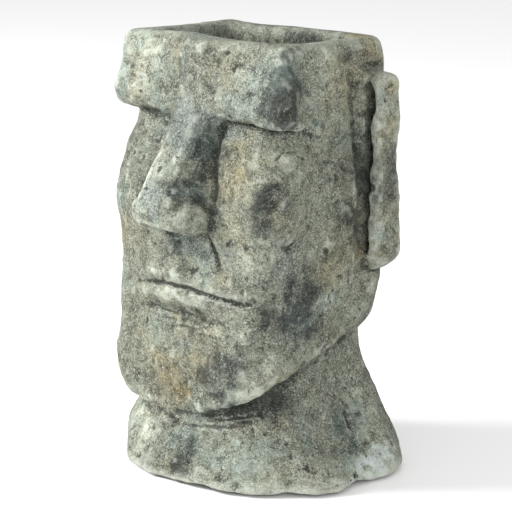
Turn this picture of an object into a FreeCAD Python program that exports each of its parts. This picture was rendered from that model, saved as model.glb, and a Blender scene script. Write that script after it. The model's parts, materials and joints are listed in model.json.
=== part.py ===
"""Stone-look head planter: one hollow cement casting, a rubber drain plug and four foot pads.

Frame: millimetres, +Z up, the face looks along -Y, the origin is under the middle of the footprint
on the surface that the planter stands on. The head is mirror-symmetric about the YZ plane.
"""

import FreeCAD, Part
import os
from math import pi
import Sketcher
from FreeCAD import Vector

SHEET = "sizes"

# Driving dimensions in mm. "Front" is how far a level reaches towards the face (-Y) from the origin
# axis, "Back" how far it reaches away from it, "Level" is its height above the standing surface.
SIZES = {
    # foot pads
    "PadRadius": 11,
    "PadFrontX": 66,
    "PadFrontY": 54,
    "PadRearX": 100,
    "PadRearY": 68,
    # neck, four levels that narrow upwards and run on inside the head
    "FootLevel": 2.5,
    "FootHalfWidth": 142,
    "FootFront": 103,
    "FootSide": -8,
    "FootBack": 110,
    "FootRadius": 66,
    "CollarLevel": 50,
    "CollarHalfWidth": 112,
    "CollarFront": 84.5,
    "CollarSide": 2.5,
    "CollarBack": 107.5,
    "CollarRadius": 50,
    "NapeLevel": 100,
    "NapeHalfWidth": 90,
    "NapeFront": 70.5,
    "NapeSide": 0.5,
    "NapeBack": 89.5,
    "NapeRadius": 38,
    "StemLevel": 150,
    "StemHalfWidth": 84,
    "StemFront": 62,
    "StemSide": 0.5,
    "StemBack": 80,
    "StemRadius": 30,
    # head, six levels
    "JawLevel": 45,
    "JawHalfWidth": 92,
    "JawFront": 76,
    "JawBack": 81.5,
    "JawRadius": 36,
    "ChinLevel": 90,
    "ChinHalfWidth": 98,
    "ChinFront": 80.5,
    "ChinBack": 86,
    "ChinRadius": 30,
    "MouthLevel": 172,
    "MouthHalfWidth": 103,
    "MouthFront": 72.5,
    "MouthBack": 90,
    "MouthRadius": 30,
    "CheekLevel": 240,
    "CheekHalfWidth": 106,
    "CheekFront": 70,
    "CheekBack": 92,
    "CheekRadius": 22,
    "EyeLevel": 322,
    "EyeHalfWidth": 104,
    "EyeFront": 46.5,
    "EyeBack": 95,
    "EyeRadius": 34,
    "CrownLevel": 400,
    "CrownHalfWidth": 98,
    "CrownFront": 42,
    "CrownBack": 84,
    "CrownRadius": 12,
    # jaw line: an arc seen from the front, a rising edge seen from the side
    "ChinBottom": 59,
    "ChinArcHalfWidth": 100,
    "ChinArcLevel": 105,
    "JawCornerFront": 72,
    "JawCornerLevel": 88,
    "JawMiddleFront": 14,
    "JawMiddleLevel": 114,
    "JawAngleBack": 62,
    "JawAngleLevel": 128,
    "JawRearLevel": 200,
    "FarFront": 150,
    "FarBack": 160,
    "Below": 20,
    # brow slab, wider at its lower edge
    "BrowLevel": 335,
    "BrowHalfWidth": 110,
    "BrowFront": 56,
    "BrowTail": 15,
    "BrowTailHalfWidth": 97,
    "HairlineLevel": 399.9,
    "HairlineHalfWidth": 99,
    "HairlineFront": 45,
    "HairlineTailHalfWidth": 96,
    # nose, a wedge that stands out further towards its tip
    "BridgeLevel": 340,
    "BridgeFront": 62,
    "BridgeHalfWidth": 14,
    "BridgeRootHalfWidth": 27,
    "BridgeRoot": 36,
    "TipLevel": 246,
    "TipFront": 110,
    "TipHalfWidth": 20,
    "TipRootHalfWidth": 36,
    "TipRoot": 52,
    "NoseBottomLevel": 229,
    "NoseBottomFront": 98,
    "NoseBottomHalfWidth": 18,
    "NoseBottomRootHalfWidth": 38,
    "NostrilX": 33,
    "NostrilFront": 74,
    "NostrilLevel": 244,
    "NostrilRadius": 15,
    # lips, two flat ellipsoids that meet at the mouth line
    "LipHalfWidth": 74,
    "LipDepth": 11,
    "LipHeight": 11,
    "LipFront": 71,
    "UpperLipLevel": 184,
    "LowerLipLevel": 162,
    # ears, long slabs at the back of each side
    "EarFront": 53,
    "EarBack": 83,
    "EarBottom": 190,
    "EarTop": 367,
    "EarReach": 126,
    "EarRoot": 90,
    "EarRadius": 14,
    # planting cavity and drain
    "CavityHalfWidth": 80,
    "CavityFront": 25,
    "CavityBack": 67,
    "CavityRadius": 20,
    "FloorLevel": 30,
    "FloorHalfWidth": 68,
    "FloorFront": 24,
    "FloorBack": 60,
    "FloorRadius": 22,
    "DrainRadius": 10,
    "DrainY": 15,
    # rubber plug
    "PlugFlangeRadius": 16,
    "PlugFlangeThick": 4,
    "PlugShankRadius": 9.6,
    "PlugTipRadius": 8.6,
    "PlugLength": 20,
    "PlugKnobRadius": 6,
    "PlugKnobTop": 13,
    "Axis": 0,
}

FOOT_PADS = {
    "front_right": ("-PadFrontX", "-PadFrontY"),
    "front_left": ("PadFrontX", "-PadFrontY"),
    "rear_right": ("-PadRearX", "PadRearY"),
    "rear_left": ("PadRearX", "PadRearY"),
}


def size(name):
    """A driving dimension's number, for geometry before the solver moves it; "-" flips its sign."""
    return -float(SIZES[name[1:]]) if name.startswith("-") else float(SIZES[name])


def cell(name):
    """The expression that reads a driving dimension from the sheet; "-" flips its sign."""
    return f"-<<{SHEET}>>.{name[1:]}" if name.startswith("-") else f"<<{SHEET}>>.{name}"


def make_sheet(doc):
    """The spreadsheet that every sketch and placement reads."""
    sheet = doc.addObject("Spreadsheet::Sheet", SHEET)
    for row, (name, value) in enumerate(SIZES.items(), start=1):
        sheet.set(f"A{row}", name)
        sheet.set(f"B{row}", str(value))
        sheet.setAlias(f"B{row}", name)
    doc.recompute()


def make_body(doc, label):
    """An empty PartDesign body with a readable label."""
    body = doc.addObject("PartDesign::Body", label)
    body.Label = label
    doc.recompute()
    return body


def plane_of(body, role):
    """One of the body's own origin planes."""
    return next(f for f in body.Origin.OriginFeatures if f.Role == role)


def make_sketch(body, name, role="XY_Plane", offset=None):
    """A sketch on an origin plane of the body, moved along the plane's normal by a driving dimension."""
    sketch = body.newObject("Sketcher::SketchObject", name)
    sketch.AttachmentSupport = (plane_of(body, role), [""])
    sketch.MapMode = "FlatFace"
    if offset:
        sketch.setExpression("AttachmentOffset.Base.z", cell(offset))
    return sketch


def bind(sketch, kind, geometry, value, expression):
    """Adds a driving constraint and ties it to the sheet."""
    index = sketch.addConstraint(Sketcher.Constraint(kind, *geometry, value))
    name = f"size_{index}"
    sketch.renameConstraint(index, name)
    sketch.setExpression(f"Constraints.{name}", expression)


def reach(sketch, axis, edge, end, name):
    """Places one end of an edge at a driving dimension along the sketch's X or Y axis."""
    bind(sketch, f"Distance{axis}", (-1, 1, edge, end), size(name), cell(name))


def line(sketch, start, end):
    return sketch.addGeometry(Part.LineSegment(Vector(*start, 0), Vector(*end, 0)), False)


def corner_arc(sketch, centre, radius, quarter):
    """A quarter circle drawn anticlockwise; quarter 0 starts at +X."""
    circle = Part.Circle(Vector(*centre, 0), Vector(0, 0, 1), radius)
    return sketch.addGeometry(Part.ArcOfCircle(circle, quarter * pi / 2, (quarter + 1) * pi / 2), False)


def join(sketch, edges, kind="Coincident"):
    """Joins each edge's end to the next edge's start."""
    for one, other in zip(edges, edges[1:]):
        sketch.addConstraint(Sketcher.Constraint(kind, one, 2, other, 1))


def polygon(sketch, corners):
    """A closed outline of straight edges; each corner is a pair of driving dimensions."""
    spots = [(size(x), size(y)) for x, y in corners]
    edges = [line(sketch, a, b) for a, b in zip(spots, spots[1:] + spots[:1])]
    join(sketch, edges + edges[:1])
    for edge, (x, y) in zip(edges, corners):
        reach(sketch, "X", edge, 1, x)
        reach(sketch, "Y", edge, 1, y)
    return sketch


def rounded_box(sketch, left, right, low, high, radius):
    """A rectangle with four equal rounded corners."""
    x0, x1, y0, y1, r = (size(name) for name in (left, right, low, high, radius))
    edges = [
        line(sketch, (x0 + r, y0), (x1 - r, y0)),
        corner_arc(sketch, (x1 - r, y0 + r), r, -1),
        line(sketch, (x1, y0 + r), (x1, y1 - r)),
        corner_arc(sketch, (x1 - r, y1 - r), r, 0),
        line(sketch, (x1 - r, y1), (x0 + r, y1)),
        corner_arc(sketch, (x0 + r, y1 - r), r, 1),
        line(sketch, (x0, y1 - r), (x0, y0 + r)),
        corner_arc(sketch, (x0 + r, y0 + r), r, 2),
    ]
    join(sketch, edges + edges[:1], "Tangent")
    for edge, axis, name in zip(edges[::2], "YXYX", (low, right, high, left)):
        sketch.addConstraint(Sketcher.Constraint("Horizontal" if axis == "Y" else "Vertical", edge))
        reach(sketch, axis, edge, 1, name)
    for corner in edges[3::2]:
        sketch.addConstraint(Sketcher.Constraint("Equal", edges[1], corner))
    bind(sketch, "Radius", (edges[1],), r, cell(radius))
    return sketch


def bow(sketch, half_width, level, tip):
    """An arc from (-half_width, level) through (0, tip), which is lower, to (half_width, level)."""
    wide, high, low = size(half_width), size(level), size(tip)
    through = (Vector(-wide, high, 0), Vector(0, low, 0), Vector(wide, high, 0))
    edge = sketch.addGeometry(Part.Arc(*through), False)
    rise = f"({cell(level)} - {cell(tip)})"
    radius = (wide**2 + (high - low) ** 2) / (2 * (high - low))
    bind(sketch, "Radius", (edge,), radius, f"({cell(half_width)} ^ 2 + {rise} ^ 2) / (2 * {rise})")
    return edge


def head_level(body, name):
    """A level of the head: a rounded rectangle."""
    wide = f"{name}HalfWidth"
    sketch = make_sketch(body, f"{name.lower()}_level", offset=f"{name}Level")
    return rounded_box(sketch, f"-{wide}", wide, f"-{name}Front", f"{name}Back", f"{name}Radius")


def neck_level(body, name):
    """A level of the neck: an arc across the front, straight sides and rounded back corners."""
    wide, level, front = f"{name}HalfWidth", f"{name}Side", f"-{name}Front"
    x, side, back, r = size(wide), size(level), size(f"{name}Back"), size(f"{name}Radius")
    sketch = make_sketch(body, f"{name.lower()}_level", offset=f"{name}Level")
    edges = [
        bow(sketch, wide, level, front),
        line(sketch, (x, side), (x, back - r)),
        corner_arc(sketch, (x - r, back - r), r, 0),
        line(sketch, (x - r, back), (-x + r, back)),
        corner_arc(sketch, (-x + r, back - r), r, 1),
        line(sketch, (-x, back - r), (-x, side)),
    ]
    join(sketch, edges[:2])
    join(sketch, edges[1:], "Tangent")
    join(sketch, [edges[-1], edges[0]])
    for upright, end, x_name in ((edges[1], 1, wide), (edges[5], 2, f"-{wide}")):
        sketch.addConstraint(Sketcher.Constraint("Vertical", upright))
        reach(sketch, "X", upright, end, x_name)
        reach(sketch, "Y", upright, end, level)
    sketch.addConstraint(Sketcher.Constraint("Horizontal", edges[3]))
    reach(sketch, "Y", edges[3], 1, f"{name}Back")
    sketch.addConstraint(Sketcher.Constraint("Equal", edges[2], edges[4]))
    bind(sketch, "Radius", (edges[2],), r, cell(f"{name}Radius"))
    return sketch


def wedge_level(body, name, front, root):
    """A level of the brow or nose: half width and reach at the front, then at the root."""
    (near, ahead), (far, behind) = front, root
    sketch = make_sketch(body, f"{name.lower()}_level", offset=f"{name}Level")
    return polygon(sketch, [(f"-{near}", ahead), (near, ahead), (far, behind), (f"-{far}", behind)])


def loft(body, name, levels, subtract=False):
    """A smooth solid through the levels, added to the body or taken out of it."""
    kind = "PartDesign::SubtractiveLoft" if subtract else "PartDesign::AdditiveLoft"
    feature = body.newObject(kind, name)
    feature.Profile = (levels[0], [""])
    feature.Sections = [(level, [""]) for level in levels[1:]]
    feature.Ruled = False
    body.Document.recompute()
    return feature


def cut(body, name, sketch, depth=None):
    """Removes what lies inside the sketch, to a depth or right through the body both ways."""
    before = body.Shape.Volume
    pocket = body.newObject("PartDesign::Pocket", name)
    pocket.Profile = (sketch, [""])
    if depth:
        pocket.setExpression("Length", cell(depth))
    else:
        pocket.Type = "ThroughAll"
        pocket.Midplane = True
    body.Document.recompute()
    if not body.Shape.Volume < before - 1:
        raise RuntimeError(f"{name} removed nothing")


def under_the_jaw(body):
    """The space under the head seen from the side; its upper edge is the rising jaw line."""
    corners = [
        ("-FarFront", "-Below"),
        ("FarBack", "-Below"),
        ("FarBack", "JawRearLevel"),
        ("JawAngleBack", "JawAngleLevel"),
        ("-JawMiddleFront", "JawMiddleLevel"),
        ("-JawCornerFront", "JawCornerLevel"),
        ("-ChinFront", "ChinBottom"),
        ("-FarFront", "ChinBottom"),
    ]
    return polygon(make_sketch(body, "jaw_line", "YZ_Plane"), corners)


def under_the_chin(body):
    """The space under the chin seen from the front; its upper edge is an arc, lowest in the middle."""
    sketch = make_sketch(body, "chin_line", "XZ_Plane")
    wide, far, high, low = size("ChinArcHalfWidth"), size("FarBack"), size("ChinArcLevel"), size("-Below")
    edges = [
        bow(sketch, "ChinArcHalfWidth", "ChinArcLevel", "ChinBottom"),
        line(sketch, (wide, high), (far, high)),
        line(sketch, (far, high), (far, low)),
        line(sketch, (far, low), (-far, low)),
        line(sketch, (-far, low), (-far, high)),
        line(sketch, (-far, high), (-wide, high)),
    ]
    join(sketch, edges + edges[:1])
    starts = (
        ("ChinArcHalfWidth", "ChinArcLevel"),
        ("FarBack", "ChinArcLevel"),
        ("FarBack", "-Below"),
        ("-FarBack", "-Below"),
        ("-FarBack", "ChinArcLevel"),
    )
    for edge, (x, y) in zip(edges[1:], starts):
        reach(sketch, "X", edge, 1, x)
        reach(sketch, "Y", edge, 1, y)
    reach(sketch, "X", edges[5], 2, "-ChinArcHalfWidth")
    reach(sketch, "Y", edges[5], 2, "ChinArcLevel")
    return sketch


def primitive(body, kind, name, place, sizes):
    """A PartDesign primitive at a place, sized by driving dimensions."""
    feature = body.newObject(kind, name)
    feature.AttachmentSupport = (plane_of(body, "XY_Plane"), [""])
    feature.MapMode = "FlatFace"
    for axis, dimension in place.items():
        feature.setExpression(f"AttachmentOffset.Base.{axis}", cell(dimension))
    for key, dimension in sizes.items():
        feature.setExpression(key, cell(dimension))
    body.Document.recompute()


def add_nose(body):
    """The nose's ridge, its underside and its two nostril wings."""
    bridge = (("BridgeHalfWidth", "-BridgeFront"), ("BridgeRootHalfWidth", "-BridgeRoot"))
    tip = (("TipHalfWidth", "-TipFront"), ("TipRootHalfWidth", "-TipRoot"))
    under = (("NoseBottomHalfWidth", "-NoseBottomFront"), ("NoseBottomRootHalfWidth", "-TipRoot"))
    loft(body, "nose_ridge", [wedge_level(body, "Bridge", *bridge), wedge_level(body, "Tip", *tip)])
    loft(body, "nose_underside", [wedge_level(body, "Tip", *tip), wedge_level(body, "NoseBottom", *under)])
    for side, across in (("right", "-NostrilX"), ("left", "NostrilX")):
        place = {"x": across, "y": "-NostrilFront", "z": "NostrilLevel"}
        primitive(body, "PartDesign::AdditiveSphere", f"nostril_{side}", place, {"Radius": "NostrilRadius"})


def add_lips(body):
    """Two flat ellipsoids that meet at the mouth line."""
    radii = {"Radius1": "LipHeight", "Radius2": "LipHalfWidth", "Radius3": "LipDepth"}
    for name, level in (("upper_lip", "UpperLipLevel"), ("lower_lip", "LowerLipLevel")):
        place = {"y": "-LipFront", "z": level}
        primitive(body, "PartDesign::AdditiveEllipsoid", name, place, radii)


def add_ears(body):
    """A long slab on each side, padded outwards from inside the head."""
    sketch = make_sketch(body, "ear_outline", "YZ_Plane", offset="EarRoot")
    rounded_box(sketch, "EarFront", "EarBack", "EarBottom", "EarTop", "EarRadius")
    pad = body.newObject("PartDesign::Pad", "ear_left")
    pad.Profile = (sketch, [""])
    pad.setExpression("Length", f"{cell('EarReach')} - {cell('EarRoot')}")
    body.Document.recompute()
    mirror = body.newObject("PartDesign::Mirrored", "ear_right")
    mirror.Originals = [pad]
    mirror.MirrorPlane = (plane_of(body, "YZ_Plane"), [""])
    body.Tip = mirror
    body.Document.recompute()


def cut_insides(body):
    """The tapered planting cavity and the drain hole in its floor."""
    mouth = make_sketch(body, "cavity_mouth", offset="CrownLevel")
    rounded_box(mouth, "-CavityHalfWidth", "CavityHalfWidth", "-CavityFront", "CavityBack", "CavityRadius")
    floor = make_sketch(body, "cavity_floor", offset="FloorLevel")
    rounded_box(floor, "-FloorHalfWidth", "FloorHalfWidth", "-FloorFront", "FloorBack", "FloorRadius")
    loft(body, "planting_cavity", [mouth, floor], subtract=True)
    drain = make_sketch(body, "drain_circle", offset="FloorLevel")
    edge = Part.Circle(Vector(0, size("DrainY"), 0), Vector(0, 0, 1), size("DrainRadius"))
    circle = drain.addGeometry(edge, False)
    drain.addConstraint(Sketcher.Constraint("PointOnObject", circle, 3, -2))
    reach(drain, "Y", circle, 3, "DrainY")
    bind(drain, "Radius", (circle,), size("DrainRadius"), cell("DrainRadius"))
    cut(body, "drain_hole", drain, "FloorLevel")


def make_head(doc):
    """The one-piece cement casting: head, neck, planting cavity and drain."""
    body = make_body(doc, "head_casting")
    levels = ("Jaw", "Chin", "Mouth", "Cheek", "Eye", "Crown")
    loft(body, "head_block", [head_level(body, name) for name in levels])
    cut(body, "jaw_cut", under_the_jaw(body))
    cut(body, "chin_cut", under_the_chin(body))
    loft(body, "neck", [neck_level(body, name) for name in ("Foot", "Collar", "Nape", "Stem")])
    brow = (("BrowHalfWidth", "-BrowFront"), ("BrowTailHalfWidth", "-BrowTail"))
    hairline = (("HairlineHalfWidth", "-HairlineFront"), ("HairlineTailHalfWidth", "-BrowTail"))
    loft(body, "brow", [wedge_level(body, "Brow", *brow), wedge_level(body, "Hairline", *hairline)])
    add_nose(body)
    add_lips(body)
    add_ears(body)
    cut_insides(body)
    return body


def make_plug(doc):
    """The drain plug: tapered shank, flange that rests on the cavity floor, and a grip knob."""
    body = make_body(doc, "drain_plug")
    sketch = make_sketch(body, "plug_profile", "XZ_Plane")
    corners = [
        ("Axis", "-PlugLength"),
        ("PlugTipRadius", "-PlugLength"),
        ("PlugShankRadius", "Axis"),
        ("PlugFlangeRadius", "Axis"),
        ("PlugFlangeRadius", "PlugFlangeThick"),
        ("PlugKnobRadius", "PlugFlangeThick"),
        ("PlugKnobRadius", "PlugKnobTop"),
        ("Axis", "PlugKnobTop"),
    ]
    polygon(sketch, corners)
    turned = body.newObject("PartDesign::Revolution", "plug_turned")
    turned.Profile = (sketch, [""])
    turned.ReferenceAxis = (sketch, ["V_Axis"])
    turned.Angle = 360
    doc.recompute()
    body.setExpression("Placement.Base.y", cell("DrainY"))
    body.setExpression("Placement.Base.z", cell("FloorLevel"))
    return body


def make_pad(doc, label, across, along):
    """One rubber foot pad, glued under the foot; its underside is the standing surface."""
    pad = doc.addObject("Part::Cylinder", label)
    pad.Label = label
    pad.setExpression("Radius", cell("PadRadius"))
    pad.setExpression("Height", cell("FootLevel"))
    pad.setExpression("Placement.Base.x", cell(across))
    pad.setExpression("Placement.Base.y", cell(along))
    return pad


def check(doc):
    """Stops the build if any object failed or any sub-part has no valid shape."""
    for item in doc.Objects:
        if {"Invalid", "Error"} & set(item.State):
            raise RuntimeError(f"{item.Label} failed: {item.State}")


def export(pieces):
    """Writes each sub-part's STEP file, named after its label."""
    os.makedirs("parts", exist_ok=True)
    for piece in pieces:
        shape = piece.Shape
        if shape.isNull() or not shape.isValid():
            raise RuntimeError(f"{piece.Label} has no valid shape")
        shape.exportStep(f"parts/{piece.Label}.step")
        print(f"{piece.Label}: {len(shape.Solids)} solid, {shape.Volume / 1e6:.3f} litres")


def main():
    doc = FreeCAD.newDocument("head_planter")
    make_sheet(doc)
    pieces = [make_head(doc), make_plug(doc)]
    pieces += [make_pad(doc, f"foot_pad_{name}", *place) for name, place in FOOT_PADS.items()]
    doc.recompute()
    check(doc)
    export(pieces)


main()
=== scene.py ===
"""Visual model of the stone-head planter.

The cement head is sculpted as a distance field on a grid and turned into a mesh. The sculpt works in
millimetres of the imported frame; everything is turned into metres when the mesh is made.
"""

import json
import math

import bpy
import numpy as np
import openvdb
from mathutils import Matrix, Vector


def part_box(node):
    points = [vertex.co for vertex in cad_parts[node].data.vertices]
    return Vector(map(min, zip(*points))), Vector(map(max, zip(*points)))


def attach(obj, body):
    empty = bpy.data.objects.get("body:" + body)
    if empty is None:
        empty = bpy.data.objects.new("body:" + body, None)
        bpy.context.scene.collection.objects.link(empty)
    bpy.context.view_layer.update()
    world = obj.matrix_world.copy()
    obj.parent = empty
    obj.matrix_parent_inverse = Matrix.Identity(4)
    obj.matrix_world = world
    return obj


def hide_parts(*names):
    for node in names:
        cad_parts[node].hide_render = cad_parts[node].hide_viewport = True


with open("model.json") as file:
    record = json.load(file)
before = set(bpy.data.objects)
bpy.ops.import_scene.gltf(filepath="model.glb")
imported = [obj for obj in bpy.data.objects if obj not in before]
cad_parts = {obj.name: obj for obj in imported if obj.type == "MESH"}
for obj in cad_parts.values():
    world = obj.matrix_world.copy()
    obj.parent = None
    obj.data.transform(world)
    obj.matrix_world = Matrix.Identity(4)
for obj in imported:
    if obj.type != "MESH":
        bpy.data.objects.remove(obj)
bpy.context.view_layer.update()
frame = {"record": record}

MM = 0.001
HEAD_LOW, HEAD_HIGH = ([value / MM for value in corner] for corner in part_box("head_casting"))
FOOT = HEAD_LOW[2]
RIM = HEAD_HIGH[2]
plug_low, plug_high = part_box("drain_plug")

# main sizes of the sculpt, in mm
CAVITY_FLOOR = 30
JAW = 56.5
MOUTH = 178
NOSE_UNDER = 235
BROW_UNDER = 328.5
BROW_BACK = 40
NECK_SHIFT = 6.5
EAR_Y, EAR_HALF_DEPTH = 69, 16.5
EAR_Z, EAR_HALF_HEIGHT = 279, 91
DRAIN_Y = (plug_low[1] + plug_high[1]) / 2 / MM
DRAIN_RADIUS = 10.2
rng = np.random.default_rng(7)

# ---------------------------------------------------------------------------------------------
# distance-field tools
# ---------------------------------------------------------------------------------------------

STEP = 1.6
DIAGONAL = math.sqrt(0.5)
MARGIN = 6 * STEP


def axis(low, high):
    """Grid positions along one axis, with a margin outside the head on both sides."""
    return np.arange(low - MARGIN, high + MARGIN, STEP, dtype=np.float32)


X = axis(HEAD_LOW[0], HEAD_HIGH[0])[:, None, None]
Y = axis(HEAD_LOW[1], HEAD_HIGH[1])[None, :, None]
Z = axis(FOOT, RIM)[None, None, :]
SIDE = np.abs(X)


def smooth_max(a, b, blend):
    """The larger of two fields, rounded where they cross."""
    mix = np.clip(0.5 + 0.5 * (a - b) / blend, 0, 1)
    return b + (a - b) * mix + blend * mix * (1 - mix)


def smooth_min(a, b, blend):
    """The smaller of two fields, filleted where they cross."""
    return -smooth_max(-a, -b, blend)


def ramp(value, start, end):
    """0 at start, 1 at end, eased at both."""
    t = np.clip((value - start) / (end - start), 0, 1)
    return t * t * (3 - 2 * t)


def hill(value, centre, width):
    """A bell of height 1."""
    return np.exp(-(((value - centre) / width) ** 2))


def patch(a, b, centre_a, centre_b, width_a, width_b, turn=0.0):
    """A two-way bell of height 1, turned by an angle in degrees."""
    cos, sin = math.cos(math.radians(turn)), math.sin(math.radians(turn))
    along = (a - centre_a) * cos + (b - centre_b) * sin
    across = (b - centre_b) * cos - (a - centre_a) * sin
    return np.exp(-((along / width_a) ** 2) - (across / width_b) ** 2)


def stroke(a, b, start, end, width):
    """A line of height 1 from start to end that fades at both ends."""
    run = (end[0] - start[0], end[1] - start[1])
    length = math.hypot(*run)
    along = ((a - start[0]) * run[0] + (b - start[1]) * run[1]) / length
    across = ((b - start[1]) * run[0] - (a - start[0]) * run[1]) / length
    fade = ramp(along, -0.1 * length, 0.25 * length) * ramp(along, 1.1 * length, 0.75 * length)
    return np.exp(-((across / width) ** 2)) * fade


def follow(positions, rows, soften=9.0):
    """Reads a table whose first column is a position, eased between its rows."""
    table = np.array(rows, dtype=float)
    flat = positions.ravel()
    reach = np.arange(-2.5 * soften, 2.5 * soften + 1, 1.0)
    weight = np.exp(-((reach / soften) ** 2))
    weight /= weight.sum()
    columns = []
    for column in table[:, 1:].T:
        spread = np.interp(flat[:, None] + reach, table[:, 0], column)
        columns.append((spread @ weight).reshape(positions.shape).astype(np.float32))
    return columns


def lumps(spacing):
    """Smooth random lumps about 1 high and about one spacing across."""
    shape = [len(np.ravel(a)) for a in (X, Y, Z)]
    knots = [int(n * STEP / spacing) + 4 for n in shape]
    field = rng.standard_normal(knots).astype(np.float32)
    for direction, count in enumerate(shape):
        place = np.arange(count) * STEP / spacing + 1
        weights = np.zeros((count, knots[direction]), dtype=np.float32)
        for offset in range(-1, 3):
            near = np.floor(place).astype(int) + offset
            gap = np.abs(place - near)
            spline = np.where(gap < 1, 2 / 3 - gap**2 + gap**3 / 2, np.clip(2 - gap, 0, None) ** 3 / 6)
            weights[np.arange(count), near] = spline
        field = np.moveaxis(np.tensordot(weights, field, axes=(1, direction)), 0, direction)
    return field / field.std()


def blurred(field, reach):
    """Box average over a reach of cells each way."""
    for direction in range(3):
        padded = [(0, 0)] * 3
        padded[direction] = (reach + 1, reach)
        total = np.cumsum(np.pad(field, padded, mode="edge"), axis=direction, dtype=np.float64)
        count = field.shape[direction]
        upper = np.take(total, range(2 * reach + 1, 2 * reach + 1 + count), axis=direction)
        lower = np.take(total, range(count), axis=direction)
        field = ((upper - lower) / (2 * reach + 1)).astype(np.float32)
    return field


def rounded_plan(half, front, back, front_round, back_round, across=SIDE, along=Y):
    """An upright bar, a rounded rectangle in plan; all its sizes may change with height."""
    middle = (back - front) / 2
    radius = np.where(along < middle, front_round, back_round)
    out_x = across - half + radius
    out_y = np.abs(along - middle) - (back + front) / 2 + radius
    corner = np.hypot(np.maximum(out_x, 0), np.maximum(out_y, 0))
    return corner + np.minimum(np.maximum(out_x, out_y), 0) - radius


# ---------------------------------------------------------------------------------------------
# the head, part by part
# ---------------------------------------------------------------------------------------------


def skull():
    """The face and sides down to the jaw line."""
    # height, half width, reach forward and back, front and back corner radius, bow of the face
    rows = [
        (50, 95, 80, 80, 36, 30, 5),
        (90, 99.5, 83, 86, 30, 30, 6),
        (130, 101, 76, 89, 30, 28, 6),
        (172, 104, 74, 90, 30, 26, 5),
        (206, 108, 76, 91, 28, 24, 5),
        (240, 110, 76, 92, 29, 24, 5),
        (280, 109, 67, 93, 31, 24, 5),
        (318, 104, 52, 95, 32, 20, 4),
        (345, 102, 45, 97, 26, 14, 2),
        (375, 101, 43, 96, 20, 12, 2),
        (402, 98, 42, 86, 16, 12, 2),
    ]
    half, front, back, front_round, back_round, bow = follow(Z, rows)
    bend = bow * (SIDE / half) ** 2 * ramp(Y, 0, -45)
    body = rounded_plan(half, front, back, front_round, back_round, along=Y - bend)
    (rise,) = follow(Y, [(-110, 0), (-68, 0), (-31, 9), (8, 22), (62, 36), (86, 61), (110, 86)])
    jaw = JAW + 31 * (np.abs(X + 22) / 110) ** 1.7 + rise
    return smooth_max(body, (jaw - Z) * 0.86, 8)


def brow():
    """The slab across the forehead, its lower edge standing out over the eyes."""
    # height, half width, reach forward, corner radius, bow
    rows = [
        (330, 113, 59, 14, 2),
        (345, 113, 58, 14, 2),
        (375, 109, 53, 14, 2),
        (402, 105, 49, 12, 2),
    ]
    half, front, front_round, bow = follow(Z, rows)
    front = front + 3 * hill(Z, 347, 9)
    bend = bow * (SIDE / half) ** 2
    tapered = SIDE + 12 * ramp(Y, -52, -6)
    body = rounded_plan(half, front, BROW_BACK, front_round, 8, across=tapered, along=Y - bend)
    overhang = 0.6 * np.maximum(-Y - 50, 0) + 0.3 * np.maximum(SIDE - 101, 0)
    under = BROW_UNDER + overhang - 2 * ramp(SIDE, 60, 110) - 4 * ramp(Y, -48, -16)
    return smooth_max(body, (under - Z) * 0.85, 5)


def nose():
    """A long wedge that stands out towards its tip, with rounded nostril wings."""
    # height, reach forward, half width of the ridge
    rows = [
        (212, 88, 16),
        (230, 104, 19),
        (240, 109, 20.5),
        (256, 109, 20),
        (275, 100, 18),
        (303, 81, 12.5),
        (319, 71, 10.5),
        (335, 62, 10.5),
        (352, 54, 12),
    ]
    reach, half = follow(Z, rows, soften=5)
    behind = Y + reach
    ridge = -behind * 0.87
    flank = (SIDE - half - 0.68 * behind) * 0.83
    under = NOSE_UNDER - 0.12 * behind - Z
    wedge = smooth_max(smooth_max(ridge, flank, 4), under, 6)
    spread = np.where(X > 0, 28, 23)
    swell = np.sqrt(((SIDE - spread) / 16) ** 2 + ((Y + 83) / 22) ** 2 + ((Z - 247) / 16) ** 2)
    wing = (swell - 1) * 15
    root = Y + 25
    return np.maximum(smooth_min(wedge, wing, 3), root)


def neck():
    """The neck, which flares to a broad foot; both of its front corners are cut off slantwise."""
    # height, half width, reach forward and back, corner radii, bow, distance of the two slant cuts
    rows = [
        (0, 146, 105, 109, 80, 72, 20, 128, 105),
        (12, 140, 100, 109, 78, 66, 20, 122, 105),
        (30, 122, 91, 108, 74, 52, 20, 110, 105),
        (50, 108, 81, 104, 68, 46, 18, 101, 99),
        (80, 92, 70, 95, 66, 40, 16, 98, 92),
        (105, 86, 59, 86, 56, 34, 14, 98, 92),
        (150, 82, 56, 80, 34, 30, 10, 98, 92),
    ]
    half, front, back, front_round, back_round, bow, left_cut, right_cut = follow(Z, rows)
    side = np.abs(X - NECK_SHIFT)
    bend = bow * (side / half) ** 1.6 * ramp(Y, 10, -60)
    body = rounded_plan(half, front, back, front_round, back_round, across=side, along=Y - bend)
    body = smooth_max(body, (X - Y) * DIAGONAL - left_cut, 12)
    body = smooth_max(body, (-X - Y) * DIAGONAL - right_cut, 8)
    return smooth_max(body * 0.93, Z - 190, 20)


def ears():
    """Long slabs at the back of both sides, thinner towards the lobe."""
    # height, reach outwards
    rows = [(182, 108), (197, 121), (220, 125), (300, 125), (372, 124.5)]
    (reach,) = follow(Z, rows, soften=6)
    along = np.abs(Y - EAR_Y) - EAR_HALF_DEPTH
    upright = np.abs(Z - EAR_Z) - EAR_HALF_HEIGHT
    outline = smooth_max(along, upright, 16)
    slab = smooth_max(outline, SIDE - reach, 6)
    return np.maximum(slab, 85 - SIDE)


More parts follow.
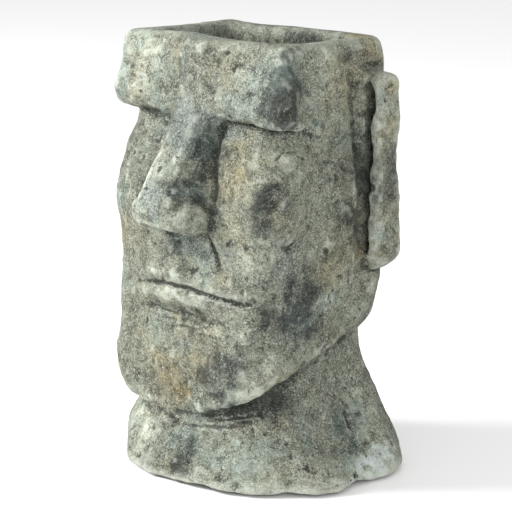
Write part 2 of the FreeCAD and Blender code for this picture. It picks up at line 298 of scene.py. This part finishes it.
def ear_gap():
    """The slot between each ear and the head, open to the front; it is narrower on the right."""
    left = X > 0
    across = np.abs(SIDE - np.where(left, 109.5, 107.5)) - np.where(left, 5, 3.5)
    along = np.abs(Y - 59) - np.where(left, 13.5, 11)
    upright = np.abs(Z - 280) - 80
    return smooth_max(smooth_max(across, along, 7), upright, 14)


def hollow():
    """The planting cavity, a little wider at the rim than at its floor."""
    # height, half width, reach forward and back, front and back corner radius
    rows = [(CAVITY_FLOOR, 68, 24, 60, 22, 22), (402, 80, 25, 67, 26, 18)]
    half, front, back, front_round, back_round = follow(Z, rows)
    return np.maximum(rounded_plan(half, front, back, front_round, back_round), CAVITY_FLOOR - Z)


def face_relief():
    """How far the front stands out, seen from the front."""
    x, z = X[:, 0], Z[0]
    side = np.abs(x)
    line = MOUTH - 7 * (x / 72) ** 2 - 4 * ramp(-x, 20, 72)
    mouth = ramp(side, 84, 62) * ramp(x, -72, -58)
    upper_lip = 5.5 * hill(z, line + 9, 10) * ramp(side, 82, 25)
    lower_lip = 6.5 * hill(z, line - 10, 10) * ramp(side, 78, 25)
    gap = -3.6 * hill(z, line, 2.3) * mouth * ramp(x, -95, 25) - 2.5 * patch(side, z, 74, 171, 9, 6)
    philtrum = -2.5 * patch(x, z, 0, 212, 9, 14)
    under_lip = -3 * patch(x, z, 0, 153, 60, 9)
    chin = 5 * patch(x, z, 0, 118, 52, 26)
    left = ramp(x, -15, 15)
    fold = -3 * stroke(x, z, (36, 231), (50, 198), 2.4) - 3 * patch(x, z, 56, 206, 22, 12, -60)
    beside_nose = -3 * stroke(side, z, (24, 330), (42, 262), 3)
    eye = -4 * patch(side, z, 42, 316, 22, 16) * (0.5 + 0.5 * left) - 3 * patch(x, z, 27, 322, 8, 12)
    crease = -3 * hill(z, 330 - 2 * ramp(side, 40, 110), 2.2) * ramp(side, 16, 30) * ramp(x, -60, 20)
    cheek = 4 * patch(side, z, 66, 262, 26, 30)
    hollow_cheek = -5 * patch(side, z, 92, 205, 20, 36)
    forehead = -2.5 * patch(x, z, -18, 372, 14, 26) + 2 * patch(side, z, 62, 368, 26, 16)
    wave = 1.2 * np.sin(x / 9) - 4 * (x / 70) ** 2
    wrinkles = sum(-0.6 * hill(z, level + wave, 1.4) for level in (151, 145, 139)) * ramp(side, 66, 30)
    relief = upper_lip + lower_lip + gap + philtrum + under_lip + chin + fold + beside_nose
    relief = relief + eye + crease + cheek + hollow_cheek + forehead + wrinkles
    return relief[:, None, :]


def side_relief():
    """How far both sides stand out, seen from the side."""
    y, z = Y[0], Z[0]
    groove = -3 * hill(y, 46, 6) * ramp(z, 196, 222) * ramp(z, 380, 356)
    temple = -3 * patch(y, z, -22, 318, 26, 26)
    jaw = 3 * patch(y, z, 20, 160, 42, 24) - 3 * patch(y, z, -15, 215, 30, 34)
    notches = -1.2 * stroke(y, z, (22, 284), (42, 281), 2.6)
    notches = notches - 1.2 * stroke(y, z, (18, 242), (40, 236), 3.5)
    crease = -3 * stroke(y, z, (-36, 328), (-8, 326), 2.4)
    crease = crease - 2 * stroke(y, z, (-20, 324), (-4, 317), 2)
    shoulder = -1.4 * stroke(y, z, (56, 376), (84, 372), 3)
    return (groove + temple + jaw + notches + crease + shoulder)[None, :, :]


def neck_relief():
    """Tool marks under the jaw, and a low ridge down the front of the foot."""
    x, z = X[:, 0], Z[0]
    # start, end and width of each mark
    marks = [
        ((-18, 64), (66, 69), 1.6),
        ((-6, 58), (60, 66), 1.4),
        ((8, 50), (72, 57), 1.5),
        ((30, 67), (78, 79), 1.5),
        ((40, 58), (84, 68), 1.3),
        ((-30, 58), (6, 50), 1.5),
    ]
    cuts = sum(-1.1 * stroke(x, z, start, end, width) for start, end, width in marks)
    ridge = 4 * patch(x, z, -13, 34, 9, 36)
    return (cuts + ridge)[:, None, :]


# larger pits and chips: x, y, z, radius, depth
CHIPS = [
    (85, -85, 6, 6, 4),
    (141, 8, 9, 4, 5),
    (145, 0, 9, 3, 4),
    (98, -17, 93, 3.5, 5),
    (30, -90, 20, 4, 3),
    (104, 30, 250, 4, 3),
    (106, 5, 225, 3.5, 3),
    (60, -70, 225, 3, 3),
]


def weathered(solid):
    """A casting's lumps and sandy roughness, its pits, and the larger chips."""
    for height, spacing in ((1.3, 42), (0.75, 17), (0.34, 7.5), (0.24, 3.8)):
        solid = solid + height * lumps(spacing)
    for depth, spacing, rarity, limit in ((1, 4.2, 1.75, 1.2), (1.8, 7, 2.7, 1)):
        solid = solid + depth * np.clip(lumps(spacing) - rarity, 0, limit)
    for x, y, z, radius, depth in CHIPS:
        gap = (X - x) ** 2 + (Y - y) ** 2 + (Z - z) ** 2
        solid = solid + depth * np.exp(-gap / radius**2)
    return solid


def open_top(solid):
    """Hollows the head and cuts its rim off nearly level, lower at the front right."""
    solid = smooth_max(solid, -hollow() + 0.6 * lumps(14), 8)
    top = RIM - 1.5 + 0.9 * lumps(40)[:, :, :1] - 3 * ramp(X - Y, 20, -140)
    return smooth_max(solid, Z - top, 10)


def level_foot(solid):
    """Cuts the foot off level, its edge chipped away in places, and opens the drain hole."""
    near_edge = ramp(solid, -26, -2)
    chipped = np.clip(0.2 + lumps(22)[:, :, :1] + 0.6 * lumps(9)[:, :, :1], 0, 4)
    solid = smooth_max(solid, FOOT + near_edge * chipped - Z, 4)
    drain = np.hypot(X, Y - DRAIN_Y) - DRAIN_RADIUS
    return smooth_max(solid, -drain, 1.5)


def sculpt():
    """The whole head as one distance field, negative inside."""
    face = ramp(Y, -12, -36) * ramp(Z, 52, 62)
    sides = ramp(SIDE, 74, 88)
    throat = ramp(Y, -20, -45) * ramp(Z, 90, 76)
    head = skull() - face_relief() * face - side_relief() * sides
    head = smooth_min(head, smooth_min(brow(), nose(), 13), 3)
    head = smooth_min(head, ears(), 3)
    head = smooth_max(head, -ear_gap() + 0.5 * lumps(12), 4)
    solid = smooth_min(head, neck() - neck_relief() * throat, 5)
    return level_foot(open_top(weathered(solid)))


# ---------------------------------------------------------------------------------------------
# meshes
# ---------------------------------------------------------------------------------------------


def mesh_object(name, points, faces, smooth=True):
    """A mesh object in the scene; points are in metres."""
    mesh = bpy.data.meshes.new(name)
    mesh.from_pydata(points, [], faces)
    mesh.polygons.foreach_set("use_smooth", [smooth] * len(mesh.polygons))
    mesh.update()
    made = bpy.data.objects.new(name, mesh)
    bpy.context.scene.collection.objects.link(made)
    return made


# how sharply the surface folds: cells averaged each way, and the depth in mm that counts in full
CREASES = {"edge": (4, 2.2), "crevice": (1, 0.3)}


def head_mesh(field):
    """The field's surface as a mesh, with how sharply it folds stored on its points."""
    grid = openvdb.FloatGrid(100.0)
    grid.copyFromArray(np.ascontiguousarray(field), tolerance=0)
    cells, quads = grid.convertToQuads(0.0)
    corner = np.array([X.ravel()[0], Y.ravel()[0], Z.ravel()[0]])
    places = corner + cells * STEP
    made = mesh_object("cement_head", places * MM, quads[:, ::-1])
    nearest = np.clip(np.rint(cells).astype(int), 0, np.array(field.shape) - 1)
    for name, (reach, depth) in CREASES.items():
        around = (blurred(field, reach) - field)[tuple(nearest.T)] / depth
        store(made, name, np.clip(around, -1, 1))
    return made, places


def store(made, name, values):
    """Keeps one number per point for the material to read."""
    attribute = made.data.attributes.new(name, "FLOAT", "POINT")
    attribute.data.foreach_set("value", values.astype(np.float32))


head, head_places = head_mesh(sculpt())
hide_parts("head_casting")
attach(head, "planter")


def spots(places, rows):
    """Soft spots with wandering outlines, set on the head: x, y, z, radius, strength."""
    broad = 5 * np.sin(places[:, [1, 2, 0]] / 6)
    fine = 3.5 * np.sin(places[:, [2, 0, 1]] / 2.7)
    wandering = places + broad + fine
    total = np.zeros(len(places))
    for x, y, z, radius, strength in rows:
        gap = ((wandering - (x, y, z)) ** 2).sum(axis=1)
        total += strength * np.exp(-gap / radius**2)
    return total


# dark where negative, pale where positive; most rows are stains, while the rows marked below paint
# shade and light
TONE_SPOTS = [
    (107, -50, 346, 22, -2.7),
    (103, -50, 364, 15, -1.8),
    (100, -51, 380, 15, -1.8),
    (-12, -50, 368, 20, -0.6),
    (103, -54, 274, 15, -0.9),
    (97, -64, 258, 14, -0.9),
    (103, -31, 152, 26, -1.0),
    (104, -23, 168, 24, -0.6),
    # painted shade on the nose's flank that faces away from the light
    (26, -62, 302, 20, -1.1),
    (26, -84, 268, 20, -1.2),
    (24, -94, 250, 12, -0.3),
    (4, -108, 242, 12, -0.4),
    (2, -84, 102, 32, -0.75),
    (78, -62, 124, 20, -0.3),
    (-90, -60, 250, 30, -0.4),
    (118, 26, 48, 22, -1.5),
    (110, 24, 68, 16, -1.0),
    (124, 16, 26, 16, -0.7),
    (26, -93, 45, 18, -1.0),
    (24, -97, 22, 13, -0.9),
    (60, -72, 120, 28, -0.5),
    (-60, -70, 100, 18, -0.5),
    # painted shade under the jaw
    (62, -66, 66, 24, -1.1),
    (88, -40, 88, 24, -0.7),
    (30, -80, 190, 26, -0.3),
    # painted shade at the mouth of the slot before the left ear
    (104, 38, 290, 24, -0.6),
    (104, 38, 235, 20, -0.6),
    (124, 60, 280, 40, -0.3),
    (76, -74, 212, 26, 1.2),
    (92, -60, 106, 22, 1.5),
    (-80, -50, 365, 26, 0.8),
    (-16, -98, 275, 18, 1.3),
    (-16, -106, 248, 14, 0.8),
    (-20, -84, 167, 18, 0.8),
    # painted shade under the nose
    (0, -76, 212, 18, -0.9),
    (62, -76, 110, 30, -0.4),
    (60, -78, 150, 22, 0.7),
    (102, 12, 366, 28, 1.1),
    (118, 40, 66, 30, 1.2),
    (104, 30, 175, 24, 0.6),
    (104, 10, 290, 40, 0.35),
    (-15, -76, 166, 20, 0.5),
    # painted light on the lit facet of the foot, left of its front ridge
    (-38, -90, 38, 26, 1.1),
    (26, -104, 244, 16, 0.5),
    # painted light on the same lit facet of the foot
    (-74, -66, 38, 24, 0.9),
    # painted shade on the foot's front just right of its ridge
    (-2, -98, 40, 14, -0.5),
    (75, -84, 32, 30, 0.8),
    (108, -64, 22, 24, 0.6),
    (46, -54, 372, 26, 0.6),
    (70, -66, 285, 22, 0.6),
    # painted shade inside the planting cavity
    (0, 66, 375, 34, -0.9),
    (60, 58, 372, 28, -0.9),
    (110, 20, 90, 26, 0.6),
    (-70, -50, 372, 26, 0.7),
    (144, 36, 14, 26, 3.2),
    (132, -30, 14, 18, 0.8),
    (104, 64, 370, 16, 0.4),
    (-40, 92, 300, 50, -0.8),
    (50, 92, 200, 44, 0.8),
    (0, 84, 100, 40, -0.7),
    (60, 94, 345, 36, 0.7),
    (-70, 90, 160, 40, 0.7),
    (-108, -10, 300, 36, -0.7),
    (-106, 20, 200, 40, 0.6),
    (-100, 30, 60, 34, -0.6),
]
# warm where positive, cool blue-grey where negative
OCHRE_SPOTS = [
    (2, -84, 96, 26, 2.2),
    (-30, -84, 130, 30, 0.8),
    (40, -80, 130, 26, 0.5),
    (103, 30, 356, 26, 0.8),
    (104, 10, 196, 28, 0.8),
    (62, -66, 280, 24, 0.8),
    (66, -74, 226, 24, 0.6),
    (-60, -70, 220, 30, 0.4),
    (40, -50, 372, 22, 0.5),
    (-30, -50, 350, 24, 0.4),
    (-80, -52, 360, 24, 0.5),
    (100, -70, 20, 26, 0.6),
    (124, 68, 230, 30, 0.5),
    (0, -100, 258, 24, -1.0),
    (10, -72, 320, 22, -0.8),
    (102, -40, 205, 30, -0.6),
    (104, -20, 150, 26, -0.5),
    (140, 36, 14, 30, -0.6),
    (62, -80, 100, 30, -0.45),
    (0, -62, 335, 30, -0.7),
]
store(head, "tone", spots(head_places, TONE_SPOTS))
store(head, "ochre", spots(head_places, OCHRE_SPOTS))

# ---------------------------------------------------------------------------------------------
# materials
# ---------------------------------------------------------------------------------------------


def shade(red, green, blue):
    """A display colour, 0 to 255, as the linear colour that Blender uses."""
    channels = [value / 255 for value in (red, green, blue)]
    return tuple(c / 12.92 if c <= 0.04045 else ((c + 0.055) / 1.055) ** 2.4 for c in channels) + (1,)


class Recipe:
    """A material being built from procedural nodes in the frame's own coordinates."""

    def __init__(self, name):
        self.material = bpy.data.materials.new(name)
        self.material.use_nodes = True
        self.tree = self.material.node_tree
        self.surface = self.tree.nodes["Principled BSDF"]
        self.place = self.tree.nodes.new("ShaderNodeTexCoord").outputs["Object"]

    def feed(self, socket, value):
        """Links an output to a socket, or sets the socket to a constant."""
        if isinstance(value, bpy.types.NodeSocket):
            self.tree.links.new(value, socket)
        else:
            socket.default_value = value

    def noise(self, scale, detail=4, rough=0.55, twist=0.0):
        """Noise with features about 1/scale metres across."""
        node = self.tree.nodes.new("ShaderNodeTexNoise")
        self.feed(node.inputs["Vector"], self.place)
        self.feed(node.inputs["Scale"], scale)
        self.feed(node.inputs["Detail"], detail)
        self.feed(node.inputs["Roughness"], rough)
        self.feed(node.inputs["Distortion"], twist)
        return node.outputs["Fac"]

    def stored(self, name):
        """A number kept on the mesh's points."""
        node = self.tree.nodes.new("ShaderNodeAttribute")
        node.attribute_name = name
        return node.outputs["Fac"]

    def maths(self, operation, a, b=0.0):
        """One operation on two values."""
        node = self.tree.nodes.new("ShaderNodeMath")
        node.operation = operation
        self.feed(node.inputs[0], a)
        self.feed(node.inputs[1], b)
        return node.outputs[0]

    def times(self, a, b):
        """Two values multiplied."""
        return self.maths("MULTIPLY", a, b)

    def fade(self, value, start, end, low=0.0, high=1.0):
        """Eases a value from low at start to high at end."""
        node = self.tree.nodes.new("ShaderNodeMapRange")
        node.interpolation_type = "SMOOTHSTEP"
        self.feed(node.inputs["Value"], value)
        self.feed(node.inputs["From Min"], start)
        self.feed(node.inputs["From Max"], end)
        self.feed(node.inputs["To Min"], low)
        self.feed(node.inputs["To Max"], high)
        return node.outputs["Result"]

    def mix(self, amount, a, b):
        """Colour a where the amount is 0, colour b where it is 1."""
        node = self.tree.nodes.new("ShaderNodeMix")
        node.data_type = "RGBA"
        for index, value in ((0, amount), (6, a), (7, b)):
            self.feed(node.inputs[index], value)
        return node.outputs[2]

    def bump(self, height, depth, below=None):
        """Relief in the shading only, depth metres high, over any bump below it."""
        node = self.tree.nodes.new("ShaderNodeBump")
        self.feed(node.inputs["Height"], height)
        self.feed(node.inputs["Distance"], depth)
        if below:
            self.feed(node.inputs["Normal"], below)
        return node.outputs["Normal"]

    def finish(self, colour, roughness, normal):
        """Feeds the surface and returns the material."""
        for name, value in (("Base Color", colour), ("Roughness", roughness), ("Normal", normal)):
            self.feed(self.surface.inputs[name], value)
        self.feed(self.surface.inputs["Specular IOR Level"], 0.25)
        return self.material


def cement():
    """Weathered grey-green cement: blotched, stained, worn pale on its edges, sandy and pitted, with
    painted shade in its creases and hollows; its spots hold painted shade and painted light as well as
    stains.
    """
    r = Recipe("cement")
    edge = r.stored("edge")
    broad = r.noise(16, 5, 0.6, 0.4)
    cloud = r.noise(45, 4, 0.6)
    ragged = r.fade(r.noise(55, 6, 0.7, 0.5), 0.35, 0.65, 0.35, 1.6)
    # stains, painted shade and painted light from the stored spots, given ragged outlines
    painted = r.times(r.stored("tone"), ragged)
    tone = r.maths("ADD", r.times(r.maths("SUBTRACT", broad, 0.5), 2.8), painted)
    tone = r.maths("ADD", tone, r.times(r.maths("SUBTRACT", cloud, 0.5), 1.3))
    colour = r.mix(r.fade(tone, -1.1, 0.1), shade(58, 62, 57), shade(139, 143, 126))
    colour = r.mix(r.fade(tone, 0.0, 1.1), colour, shade(175, 180, 162))
    colour = r.mix(r.fade(tone, 1.0, 2.4), colour, shade(200, 208, 203))
    warm = r.stored("ochre")
    ochre = r.maths("ADD", r.times(warm, 0.8), r.fade(r.noise(18, 4, 0.6), 0.52, 0.75))
    ochre = r.times(ochre, r.fade(tone, -1.0, 0.2, 0.2, 0.65))
    colour = r.mix(ochre, colour, shade(150, 132, 82))
    colour = r.mix(r.fade(warm, -0.1, -1.0, 0, 0.38), colour, shade(122, 138, 146))
    cool = r.fade(r.noise(16, 3, 0.5, 0.5), 0.5, 0.68, 0, 0.5)
    colour = r.mix(cool, colour, shade(120, 140, 136))
    broken = r.fade(r.noise(90, 4, 0.6), 0.35, 0.6, 0.3, 1)
    chalk = r.times(r.fade(edge, 0.1, 0.6, 0, 0.6), broken)
    chalk = r.times(chalk, r.fade(tone, -1.0, -0.1, 0.1, 1))
    colour = r.mix(chalk, colour, shade(174, 180, 168))
    # painted shade: darker where the surface folds inwards, in hollows and creases
    colour = r.mix(r.fade(edge, -0.1, -0.5, 0, 0.75), colour, shade(58, 61, 53))
    sand = r.noise(600, 5, 0.75, 0.8)
    grit = r.noise(1300, 2, 0.6)
    worn = r.times(r.fade(edge, 0.1, 0.45, 1, 0.6), r.fade(tone, 0.5, 1.5, 1, 0.6))
    patchy = r.times(r.fade(r.noise(38, 4, 0.6), 0.38, 0.6, 0.55, 1), worn)
    pale = r.times(patchy, r.fade(tone, -1.2, 0.1, 0.45, 1))
    lines = r.maths("ABSOLUTE", r.maths("SUBTRACT", r.noise(270, 3, 0.6, 0.8), 0.5))
    here = r.fade(r.noise(110, 3, 0.6), 0.46, 0.6, 0, 0.65)
    flecks = r.times(r.times(r.fade(lines, 0.05, 0.01), here), worn)
    dark_sand = r.times(r.fade(sand, 0.51, 0.41, 0, 0.72), patchy)
    pale_sand = r.times(r.fade(sand, 0.53, 0.61, 0, 0.8), pale)
    dark_grit = r.times(r.fade(grit, 0.47, 0.34, 0, 0.9), worn)
    colour = r.mix(dark_sand, colour, shade(34, 38, 34))
    colour = r.mix(pale_sand, colour, shade(198, 199, 190))
    colour = r.mix(dark_grit, colour, shade(44, 48, 43))
    colour = r.mix(flecks, colour, shade(36, 39, 35))
    crevice = r.stored("crevice")
    # painted shade in the finest creases and pits
    colour = r.mix(r.fade(crevice, -0.15, -0.9, 0, 0.6), colour, shade(44, 47, 40))
    colour = r.mix(r.fade(crevice, 0.3, 0.9, 0, 0.35), colour, shade(190, 193, 182))
    normal = r.bump(flecks, -0.0012)
    normal = r.bump(r.times(sand, patchy), 0.0026, normal)
    normal = r.bump(grit, 0.0008, normal)
    return r.finish(colour, r.fade(cloud, 0.3, 0.7, 0.78, 0.95), normal)


def rubber(name, tint):
    """Matt moulded rubber with dust in its grain."""
    r = Recipe(name)
    grain = r.noise(1400, 3, 0.6)
    wear = r.noise(60, 4, 0.6)
    colour = r.mix(r.fade(wear, 0.45, 0.75, 0, 0.35), shade(*tint), shade(96, 94, 88))
    return r.finish(colour, r.fade(wear, 0.3, 0.7, 0.6, 0.85), r.bump(grain, 0.0003))


head.data.materials.append(cement())


# corner arcs of the rubber pieces: most mm back from the corner, and most of either side
LARGEST_ARC = 0.8
ARC_SHARE = 0.4


def rounded_profile(profile):
    """The corners between a profile's two ends, each rounded off with a small arc."""
    rounded = []
    for before, corner, after in zip(profile, profile[1:], profile[2:]):
        corner, before, after = np.array(corner), np.array(before), np.array(after)
        run_in, run_out = np.linalg.norm(before - corner), np.linalg.norm(after - corner)
        reach = min(LARGEST_ARC, ARC_SHARE * run_in, ARC_SHARE * run_out)
        start = corner + (before - corner) / run_in * reach
        end = corner + (after - corner) / run_out * reach
        for t in (0, 0.25, 0.5, 0.75, 1):
            rounded.append(start * (1 - t) ** 2 + corner * 2 * t * (1 - t) + end * t**2)
    return rounded


def turned(name, centre, base, profile, material, sides=72):
    """A piece turned about an upright axis; the profile lists radius and height in mm from the base."""
    rounded = rounded_profile(profile)
    turns = [2 * math.pi * side / sides for side in range(sides)]
    points = []
    for radius, height in rounded:
        for turn in turns:
            x = centre[0] + radius * math.cos(turn) * MM
            y = centre[1] + radius * math.sin(turn) * MM
            points.append((x, y, base + height * MM))
    faces = [
        (row + side, row + (side + 1) % sides, row + sides + (side + 1) % sides, row + sides + side)
        for row in range(0, (len(rounded) - 1) * sides, sides)
        for side in range(sides)
    ]
    faces.append(tuple(range(sides))[::-1])
    faces.append(tuple(range(len(points) - sides, len(points))))
    made = mesh_object(name, points, faces)
    made.data.materials.append(material)
    return made


def middle(low, high):
    """The middle of a box in plan."""
    return ((low[0] + high[0]) / 2, (low[1] + high[1]) / 2)


# radius and height of the plug: tapered shank, flange with a pinch groove, domed grip
PLUG_PROFILE = [
    (0, 0),
    (7.6, 0),
    (8.6, 1.5),
    (9.1, 10),
    (9.6, 19.4),
    (8.8, 20),
    (15.6, 20),
    (16, 21),
    (15.4, 23.4),
    (11, 24),
    (8, 23.2),
    (5.2, 25),
    (4.6, 28),
    (5.8, 30.5),
    (5.6, 32.2),
    (3.5, 33),
    (0, 33),
]
plug_rubber = rubber("plug_rubber", (44, 43, 42))
plug_middle = middle(plug_low, plug_high)
plug = turned("rubber_plug", plug_middle, plug_low[2], PLUG_PROFILE, plug_rubber)
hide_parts("drain_plug")
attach(plug, "plug")

pad_rubber = rubber("pad_rubber", (62, 61, 58))
# radius and height of a pad: a shallow puck, hollowed underneath
PAD_PROFILE = [(0, 0.5), (6, 0.5), (7, 0), (10.2, 0), (11, 0.8), (10.7, 2.4), (9, 2.5), (0, 2.5)]
for node in frame["record"]["behaviour"]["bodies"]["planter"]:
    if node.startswith("foot_pad"):
        low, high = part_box(node)
        name = node.replace("foot_pad", "bumper")
        pad = turned(name, middle(low, high), low[2], PAD_PROFILE, pad_rubber)
        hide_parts(node)
        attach(pad, "planter")


# ---------------------------------------------------------------------------------------------
# floor, lights and camera
# ---------------------------------------------------------------------------------------------
FLOOR_HALF = 6
floor_corners = [(FLOOR_HALF * x, FLOOR_HALF * y, 0) for x, y in ((-1, -1), (1, -1), (1, 1), (-1, 1))]
floor = mesh_object("floor", floor_corners, [(0, 1, 2, 3)], smooth=False)
white = bpy.data.materials.new("floor_white")
white.use_nodes = True
white.node_tree.nodes["Principled BSDF"].inputs["Base Color"].default_value = (0.9, 0.9, 0.9, 1)
floor.data.materials.append(white)

scene = bpy.context.scene
world = scene.world or bpy.data.worlds.new("world")
scene.world = world
world.use_nodes = True
world.node_tree.nodes["Background"].inputs["Color"].default_value = (1, 1, 1, 1)
world.node_tree.nodes["Background"].inputs["Strength"].default_value = 0.85


def aim(made, place, target):
    """Puts an object at a place, looking at the target."""
    made.location = place
    made.rotation_euler = (Vector(target) - Vector(place)).to_track_quat("-Z", "Y").to_euler()


def soft_light(name, place, target, width, watts):
    """A square area light."""
    lamp = bpy.data.lights.new(name, "AREA")
    lamp.size = width
    lamp.energy = watts
    made = bpy.data.objects.new(name, lamp)
    scene.collection.objects.link(made)
    aim(made, place, target)


soft_light("key", (-1.7, -1.5, 1.4), (0, 0, 0.2), 0.9, 125)
soft_light("fill", (2.2, -1.2, 0.9), (0, 0, 0.2), 1.4, 36)

camera = bpy.data.cameras.new("camera")
camera.sensor_width = 36
camera.lens = 158.2
camera.shift_x = -0.0039
camera_object = bpy.data.objects.new("camera", camera)
scene.collection.objects.link(camera_object)
scene.camera = camera_object
aim(camera_object, (1.4425, -1.4170, 0.686), (0, 0.0255, 0.187))
scene.view_settings.view_transform = "Standard"
